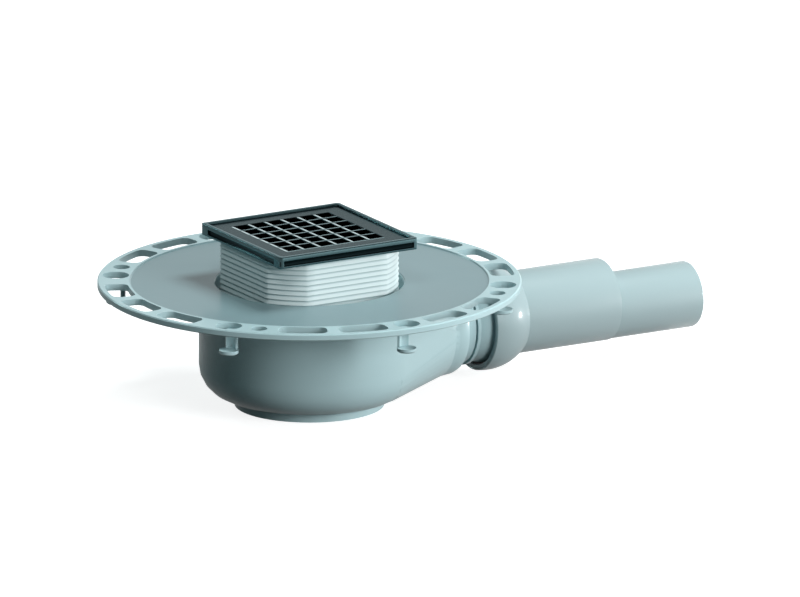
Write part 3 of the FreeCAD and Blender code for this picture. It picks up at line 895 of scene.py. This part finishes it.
@dataclass
class GrateHead:
    """The square frame and the grate that lies in it.

    Attributes:
        corner: Rounding of the frame's upright corners, in millimetres.
        pocket_share: Rounding of the pocket's corners as a share of that.
        edge: Rounding of the frame's edges.
        rim: Width of the rim round the pocket.
        groove_low: Foot of the side groove above the frame's lower face.
        groove_high: Top of the side groove above the frame's lower face.
        groove_depth: Depth of the side groove.
        posts: Length of the uncut ends on the X and the Y sides.
        seat: Height of the grate's seat above the frame's lower face.
        seat_width: Width of the seat and rim together.
        skirt_gap: Play of the skirt inside the riser.
        skirt_wall: Wall of the skirt.
        skirt_lap: How far the skirt reaches up into the frame.
        plate_corner: Rounding of the grate's corners.
        plate_edge: Rounding of the grate's outer edge.
        border: Width of the grate's border that no hole reaches.
        hole_count: Holes in one row of the grate.
        hole_first: Middle of the first hole from the frame's side.
        bar: Width of the bars between the holes.
        shift: How far the grid of holes is moved along Y.
        mouth: Rounding of the hole mouths.
        slope_near: Width of a hole's sloped rims that face +X and +Y.
        slope_far: Width of its other two sloped rims.
        sink: How far those rims sink to the hole.
        sharp: Angle in radians from which an edge of the grate is sharp.
    """

    corner: float = 2.0
    pocket_share: float = 0.8
    edge: float = 0.3
    rim: float = 2.9
    groove_low: float = 1.3
    groove_high: float = 4.5
    groove_depth: float = 1.4
    posts: tuple[float, float] = (8.0, 2.8)
    seat: float = 1.9
    seat_width: float = 8.0
    skirt_gap: float = 0.4
    skirt_wall: float = 1.6
    skirt_lap: float = 0.5
    plate_corner: float = 1.2
    plate_edge: float = 0.35
    border: float = 2.0
    hole_count: int = 6
    hole_first: float = 19.57
    bar: float = 2.37
    shift: float = 1.2
    mouth: float = 0.15
    slope_near: float = 1.8975
    slope_far: float = 0.4025
    sink: float = 0.22
    sharp: float = math.radians(2)

    def build(self) -> None:
        """Make the frame and the grate."""
        self.build_frame()
        self.build_grate()

    def square(self, half: float, corner: float, height: float) -> list[Vector]:
        """Return a square ring with rounded corners.

        Args:
            half: Half width in metres.
            corner: Radius of its corners in metres.
            height: Height in metres.

        Returns:
            The points of the ring.
        """
        points = []
        for quarter in range(4):
            turn = Matrix.Rotation(quarter * TURN / 4, 3, "Z")
            middle = turn @ Vector((half - corner, half - corner, height))
            for share in range(FRAME_STEPS + 1):
                a = TURN / 4 * (quarter + share / FRAME_STEPS)
                points.append(middle + corner * Vector((math.cos(a), math.sin(a), 0)))
        return points

    def build_frame(self) -> None:
        """Make the frame as a skin of square rings, with its grooves and skirt."""
        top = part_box("grate_frame")[1]
        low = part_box("riser")[1].z
        half = top.x
        corner = self.corner * MM
        pocket = self.pocket_share * corner
        inner = half - self.rim * MM
        mouth = half - self.seat_width * MM
        seat = low + self.seat * MM
        bm = bmesh.new()
        profile = (
            (mouth, corner, low), (half, corner, low), (half, corner, top.z),
            (inner, pocket, top.z), (inner, pocket, seat), (mouth, corner, seat),
        )
        skin(bm, [self.square(*ring) for ring in profile])
        for height in (self.groove_low, self.groove_high):
            slice_mesh(bm, Vector((0, 0, low + height * MM)), UP)
        for side, across, post in zip(CROSS, CROSS[::-1], self.posts):
            for sign in (-1, 1):
                self.cut_side(bm, side * sign, across, half, half - post * MM)
        soften(bm, steep_edges(bm), self.edge * MM)
        self.add_skirt(bm, low)
        add_piece(bm, "square_frame", Slot.STEEL, Body.RISER, "grate_frame")

    def cut_side(self, bm: bmesh.types.BMesh, out: Vector, across: Vector, half: float, end: float) -> None:
        """Sink the groove of one side between its posts.

        Args:
            bm: Mesh of the frame.
            out: Direction that the side faces.
            across: Direction along the side.
            half: Half width of the frame in metres.
            end: Where the groove ends, from the middle of the side.
        """
        for sign in (-1, 1):
            side = self.side_faces(bm, out, half)
            geom = side + list({e for f in side for e in f.edges}) + list({v for f in side for v in f.verts})
            bmesh.ops.bisect_plane(bm, geom=geom, plane_co=across * end * sign, plane_no=across)
        tall = (self.groove_high - self.groove_low) * MM
        for face in self.side_faces(bm, out, half):
            heights = [v.co.z for v in face.verts]
            inside = abs(face.calc_center_median().dot(across)) < end
            if inside and abs(max(heights) - min(heights) - tall) < 2 * MERGE:
                bmesh.ops.inset_region(bm, faces=[face], thickness=0.0, depth=-self.groove_depth * MM)

    def side_faces(self, bm: bmesh.types.BMesh, out: Vector, half: float) -> list[bmesh.types.BMFace]:
        """Return the flat outer faces of one side.

        Args:
            bm: Mesh of the frame.
            out: Direction that the side faces.
            half: Half width of the frame in metres.

        Returns:
            The faces.
        """
        bm.normal_update()
        faces = [f for f in bm.faces if f.normal.dot(out) > FACING]
        return [f for f in faces if abs(f.calc_center_median().dot(out) - half) < 2 * MERGE]

    def add_skirt(self, bm: bmesh.types.BMesh, low: float) -> None:
        """Add the skirt that stands inside the riser.

        Args:
            bm: Mesh of the frame.
            low: Height of the frame's lower face in metres.
        """
        riser = Riser()
        out = -riser.rib_depth - riser.wall - self.skirt_gap
        bore = out - self.skirt_wall
        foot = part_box("grate_frame")[0].z
        head = low + self.skirt_lap * MM
        profile = ((out, head), (out, foot), (bore, foot), (bore, head))
        skin(bm, [riser.outline(*ring) for ring in profile])

    def build_grate(self) -> None:
        """Make the plate from a grid, with its rows of square holes."""
        low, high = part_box("grate")
        half = high.x
        bm = bmesh.new()
        place = Matrix.Translation((0, 0, low.z))
        bmesh.ops.create_grid(bm, x_segments=1, y_segments=1, size=half, matrix=place)
        bmesh.ops.bevel(
            bm, geom=bm.verts, offset=self.plate_corner * MM, offset_type="OFFSET", segments=FRAME_STEPS,
            profile=0.5, affect="VERTICES",
        )
        bmesh.ops.delete(bm, geom=self.cut_holes(bm), context="FACES")
        raised = bmesh.ops.extrude_face_region(bm, geom=list(bm.faces), use_keep_orig=True)
        verts = [g for g in raised["geom"] if isinstance(g, bmesh.types.BMVert)]
        bmesh.ops.translate(bm, verts=verts, vec=UP * (high.z - low.z))
        bmesh.ops.recalc_face_normals(bm, faces=bm.faces)
        inside = half - self.border * MM
        outer = [e for e in level_edges(steep_edges(bm), high.z) if reach(e) > inside]
        soften(bm, outer, self.plate_edge * MM)
        mouths = [e for e in level_edges(steep_edges(bm), high.z) if reach(e) < inside]
        verts = list({v for e in mouths for v in e.verts})
        bmesh.ops.translate(bm, verts=verts, vec=UP * -self.sink * MM)
        soften(bm, [e for e in mouths if e.is_valid], self.mouth * MM)
        add_piece(bm, "grate_plate", Slot.STEEL, Body.RISER, "grate", "_grate", self.sharp)

    def cut_holes(self, bm: bmesh.types.BMesh) -> list[bmesh.types.BMFace]:
        """Slice the flat plate along the holes and their rims.

        Args:
            bm: Mesh of the flat plate.

        Returns:
            The faces where the holes are.
        """
        frame_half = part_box("grate_frame")[1].x
        first = self.hole_first * MM - frame_half
        pitch = 2 * -first / (self.hole_count - 1)
        open_half = 0.5 * (pitch - self.bar * MM)
        middles = [first + i * pitch for i in range(self.hole_count)]
        near, far = self.slope_near * MM, self.slope_far * MM
        for across, shift in zip(CROSS, (0.0, self.shift * MM)):
            for middle in middles:
                for side in (-open_half - near, -open_half, open_half, open_half + far):
                    slice_mesh(bm, across * (middle + shift + side), across)
        holes = []
        for face in bm.faces:
            c = face.calc_center_median()
            in_x = any(abs(c.x - m) < open_half for m in middles)
            in_y = any(abs(c.y - self.shift * MM - m) < open_half for m in middles)
            if in_x and in_y:
                holes.append(face)
        return holes


@dataclass
class OutletJoint:
    """The ball joint's rubber ring and retaining ring, and the stepped spigot.

    Attributes:
        socket_out: Outer radius of the socket in millimetres.
        socket_in: Inner radius of the socket.
        mouth: Distance of the socket's lip behind the joint's centre.
        lip_turn: Degrees by which the socket's outside stops short of its lip.
        seat: Depth of the retaining ring's seat.
        seat_r: Radius of that seat.
        thick_r: Outer radius of the thick pipe.
        thick_end: Where the thick pipe ends along X.
        thick_wall: Wall of the thick pipe.
        thin_r: Outer radius of the thin pipe.
        thin_wall: Wall of the thin pipe.
        lift: How far the thin pipe's lowest line lies above the thick one's.
        step_edge: Rounding of the thick pipe's end.
        step_arc: How far the middle of that rounding lies from the corner.
        end_long: Length of the thin pipe's rounded end.
        end_deep: Depth of that rounding at the end's face.
        end_arc: How far its middle lies from the corner.
        bore_edge: Chamfer of the mouths of the bore and the seat.
        outer_steps: Chords of the socket's outside.
        inner_steps: Chords of its inside.
        centre: The joint's centre in metres.
    """

    socket_out: float = 32.2
    socket_in: float = 28.9
    mouth: float = 6.2
    lip_turn: float = 0.8
    seat: float = 3.0
    seat_r: float = 30.6
    thick_r: float = 25.0
    thick_end: float = 203.7
    thick_wall: float = 1.8
    thin_r: float = 20.0
    thin_wall: float = 2.0
    lift: float = 0.3
    step_edge: float = 0.8
    step_arc: float = 0.25
    end_long: float = 1.2
    end_deep: float = 1.1
    end_arc: float = 0.35
    bore_edge: float = 0.2
    outer_steps: int = 18
    inner_steps: int = 14
    centre: Vector = field(default_factory=lambda: joint_centre("outlet_roll"))

    def build(self) -> None:
        """Make the three pieces."""
        parts = (
            ("ball_lip_seal", "ball_seal_ring", Slot.RUBBER, Body.BALL_SEAL),
            ("seal_retaining_ring", "socket_ring", Slot.INSERT, Body.SOCKET_RING),
        )
        for node, name, slot, body in parts:
            add_piece(cad_copy(node), name, slot, body, node)
        self.build_spigot()

    def ring(self, along: float, radius: float, drop: float = 0.0) -> list[Vector]:
        """Return a round ring of the spigot.

        Args:
            along: Distance along X from the joint's centre, in millimetres.
            radius: Radius in millimetres.
            drop: How far its middle lies below the joint's axis.

        Returns:
            The points of the ring.
        """
        return circle(self.centre + Vector((along, 0, -drop)) * MM, radius * MM)

    def build_spigot(self) -> None:
        """Make the socket and both pipes as one skin of rings."""
        step = self.thick_end - self.centre.x / MM
        end = (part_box("outlet_spigot")[1].x - self.centre.x) / MM
        drop = self.thick_r - self.thin_r - self.lift
        bore = self.thick_r - self.thick_wall
        thin_bore = self.thin_r - self.thin_wall
        lip = math.degrees(math.acos(-self.mouth / self.socket_out))
        neck = math.degrees(math.asin(self.thick_r / self.socket_out))
        back = math.degrees(math.acos((self.seat - self.mouth) / self.socket_in))
        inner = math.degrees(math.asin(bore / self.socket_in))
        outside = sphere_part(self.socket_out, lip - self.lip_turn, neck, self.outer_steps)
        inside = sphere_part(self.socket_in, inner, back, self.inner_steps)
        profile = (
            *outside,
            (step - self.step_edge, self.thick_r),
            (step - self.step_arc, self.thick_r - self.step_arc),
            (step, self.thick_r - self.step_edge),
            (step, self.thin_r, drop),
            (end - self.end_long, self.thin_r, drop),
            (end - self.end_arc, self.thin_r - self.end_arc, drop),
            (end, self.thin_r - self.end_deep, drop),
            (end, thin_bore + self.bore_edge, drop),
            (end - self.bore_edge, thin_bore, drop),
            (step - self.thick_wall, thin_bore, drop),
            (step - self.thick_wall, bore),
            *inside,
            (self.seat - self.mouth, self.seat_r),
            (self.bore_edge - self.mouth, self.seat_r),
            (-self.mouth, self.seat_r + self.bore_edge),
        )
        bm = bmesh.new()
        skin(bm, [self.ring(*point) for point in profile])
        add_piece(bm, "spigot", Slot.BODY, Body.SPIGOT, "outlet_spigot", "_spigot")


# Studio

@dataclass(frozen=True)
class Lamp:
    """A square area lamp.

    Attributes:
        name: Name of the lamp.
        place: Where it hangs, in metres.
        size: Length of its side in metres.
        watts: Its power.
        red: Share of red in its light.
        mirrored: Whether shiny pieces mirror it.
    """

    name: str
    place: tuple[float, float, float]
    size: float
    watts: float
    red: float = 1.0
    mirrored: bool = True

    def build(self, aim: Vector) -> None:
        """Hang the lamp so that it faces the object.

        Args:
            aim: Point that it faces, in metres.
        """
        light = bpy.data.lights.new(self.name, "AREA")
        light.color = (self.red, 1.0, 1.0)
        light.size = self.size
        light.energy = self.watts
        lamp = add_object(self.name, light)
        lamp.location = self.place
        lamp.rotation_euler = (aim - Vector(self.place)).to_track_quat("-Z", "Y").to_euler()
        lamp.visible_glossy = self.mirrored


LAMPS = (
    Lamp("key", (0.76, -2.21, 0.66), 1.0, 46.0, mirrored=False),
    Lamp("side", (2.0, -0.75, 0.05), 0.2, 20.0),
    Lamp("top", (0.95, 0.05, 1.8), 0.8, 34.0, 0.97, mirrored=False),
    Lamp("fill", (-0.85, -0.8, 1.6), 0.6, 8.0, mirrored=False),
    Lamp("back", (-0.55, 1.9, 1.1), 0.4, 4.0, 0.7),
)


@dataclass
class Studio:
    """Floor, world, lamps and camera.

    Attributes:
        azimuth: Camera's turn from the front, in degrees.
        elevation: Camera's height above the level, in degrees.
        width: Width of the picture in metres.
        shift_right: How far the picture's middle lies right of the aim.
        shift_up: How far it lies above the aim.
        distance: Distance of the camera in metres.
        aim: Point that the camera's view counts from.
        lamp_aim: Point that the lamps face.
        ambient: The world's light on the object.
        horizon: Upward directions between which the mirrored world goes from white to its top tone.
        overhead: Grey of that top.
        bright_side: Places along X between which mirrored rays go from the dim to the lit side.
        dim_side: Share of the world that mirrored rays see on the dim side.
        lit_side: The same on the lit side.
        floor_radius: Radius of the floor in metres.
        floor_steps: Chords of its edge.
        floor_dim: The floor's colour for the light that falls back on the object.
        floor_tone: Its grey where it is seen.
        floor_glow: Its own light where it is seen.
    """

    azimuth: float = -30.0
    elevation: float = 15.0
    width: float = 0.4826
    shift_right: float = 0.05464
    shift_up: float = -0.01118
    distance: float = 2.0
    aim: Vector = field(default_factory=lambda: Vector((0, 0, 0.077)))
    lamp_aim: Vector = field(default_factory=lambda: Vector((0.06, 0, 0.05)))
    ambient: tuple[float, float, float] = (0.045, 0.085, 0.09)
    horizon: tuple[float, float] = (0.08, 0.34)
    overhead: float = 0.5
    bright_side: tuple[float, float] = (-0.1, 0.6)
    dim_side: float = 0.28
    lit_side: float = 1.0
    floor_radius: float = 4.0
    floor_steps: int = 64
    floor_dim: tuple[float, float, float] = (0.05, 0.06, 0.06)
    floor_tone: float = 0.5
    floor_glow: float = 0.85

    def build(self) -> None:
        """Set up everything that isn't part of the object."""
        self.build_world()
        self.build_floor()
        for lamp in LAMPS:
            lamp.build(self.lamp_aim)
        self.build_camera()
        bpy.context.scene.view_settings.view_transform = "Standard"

    def seen_rays(self, tree: Tree, place: Socket) -> Socket:
        """Add a value that is one for camera rays, and the side's share for mirrored rays.

        Args:
            tree: Node tree that takes the nodes.
            place: Direction or place that tells the lit side from the dim one.

        Returns:
            The socket with the value.
        """
        path = tree.nodes.new("ShaderNodeLightPath").outputs
        side = remap(tree, split(tree, place)["X"], self.bright_side, (self.dim_side, self.lit_side))
        mirrored = number(tree, "MAXIMUM", path["Is Glossy Ray"], path["Is Transmission Ray"])
        mirrored = number(tree, "MULTIPLY", mirrored, side)
        return number(tree, "MAXIMUM", mirrored, path["Is Camera Ray"])

    def build_world(self) -> None:
        """Make a world that is white to the camera, greyer overhead in mirrors, and dim as light."""
        world = bpy.data.worlds.new("world")
        bpy.context.scene.world = world
        world.use_nodes = True
        tree = world.node_tree
        place = tree.nodes.new("ShaderNodeTexCoord").outputs["Generated"]
        path = tree.nodes.new("ShaderNodeLightPath")
        sky = mix(tree, (1, 1, 1), (self.overhead,) * 3)
        mirrored = mix(tree, self.ambient, (1, 1, 1))
        shown = mix(tree, (0, 0, 0), (1, 1, 1))
        tree.links.new(remap(tree, split(tree, place)["Z"], self.horizon), sky.inputs["Factor"])
        tree.links.new(sky.outputs["Result"], mirrored.inputs["B"])
        tree.links.new(self.seen_rays(tree, place), mirrored.inputs["Factor"])
        tree.links.new(mirrored.outputs["Result"], shown.inputs["A"])
        tree.links.new(path.outputs["Is Camera Ray"], shown.inputs["Factor"])
        tree.links.new(shown.outputs["Result"], tree.nodes["Background"].inputs["Color"])

    def build_floor(self) -> None:
        """Make a white floor that keeps only a soft shadow."""
        bm = bmesh.new()
        bmesh.ops.create_circle(bm, cap_ends=True, segments=self.floor_steps, radius=self.floor_radius)
        mesh = bpy.data.meshes.new("floor")
        bm.to_mesh(mesh)
        bm.free()
        floor = add_object("floor", mesh)
        material = bpy.data.materials.new("floor")
        material.use_nodes = True
        tree = material.node_tree
        shader = tree.nodes["Principled BSDF"].inputs
        place = tree.nodes.new("ShaderNodeTexCoord")
        seen = self.seen_rays(tree, place.outputs["Object"])
        tone = mix(tree, self.floor_dim, (self.floor_tone,) * 3)
        tree.links.new(seen, tone.inputs["Factor"])
        tree.links.new(tone.outputs["Result"], shader["Base Color"])
        tree.links.new(number(tree, "MULTIPLY", seen, self.floor_glow), shader["Emission Strength"])
        shader["Roughness"].default_value = 1.0
        shader["Specular IOR Level"].default_value = 0.0
        shader["Emission Color"].default_value = (1, 1, 1, 1)
        mesh.materials.append(material)

    def build_camera(self) -> None:
        """Add the camera of the photograph's parallel view."""
        a, e = math.radians(self.azimuth), math.radians(self.elevation)
        back = Vector((math.sin(a) * math.cos(e), -math.cos(a) * math.cos(e), math.sin(e)))
        right = Vector((math.cos(a), math.sin(a), 0))
        up = back.cross(right)
        camera = bpy.data.cameras.new("camera")
        camera.type = "ORTHO"
        camera.ortho_scale = self.width
        rig = add_object("camera", camera)
        rig.matrix_world = Matrix((right, up, back)).transposed().to_4x4()
        rig.location = self.aim + right * self.shift_right + up * self.shift_up + back * self.distance
        bpy.context.scene.camera = rig


def main() -> None:
    """Build the looks of the whole object."""
    logging.basicConfig(level=logging.INFO)
    groups = {
        "grain": grain_group(), "disc": disc_group(), "painted_shade": painted_shade_group(), "rib": rib_shade_group(),
        "rim": rim_highlight_group(),
    }
    for finish in FINISHES:
        finish.build(groups)
    for assembly in (MouldedBody(), WaterSeal(), Riser(), GrateHead(), OutletJoint(), Studio()):
        assembly.build()


if __name__ == "__main__":
    main()
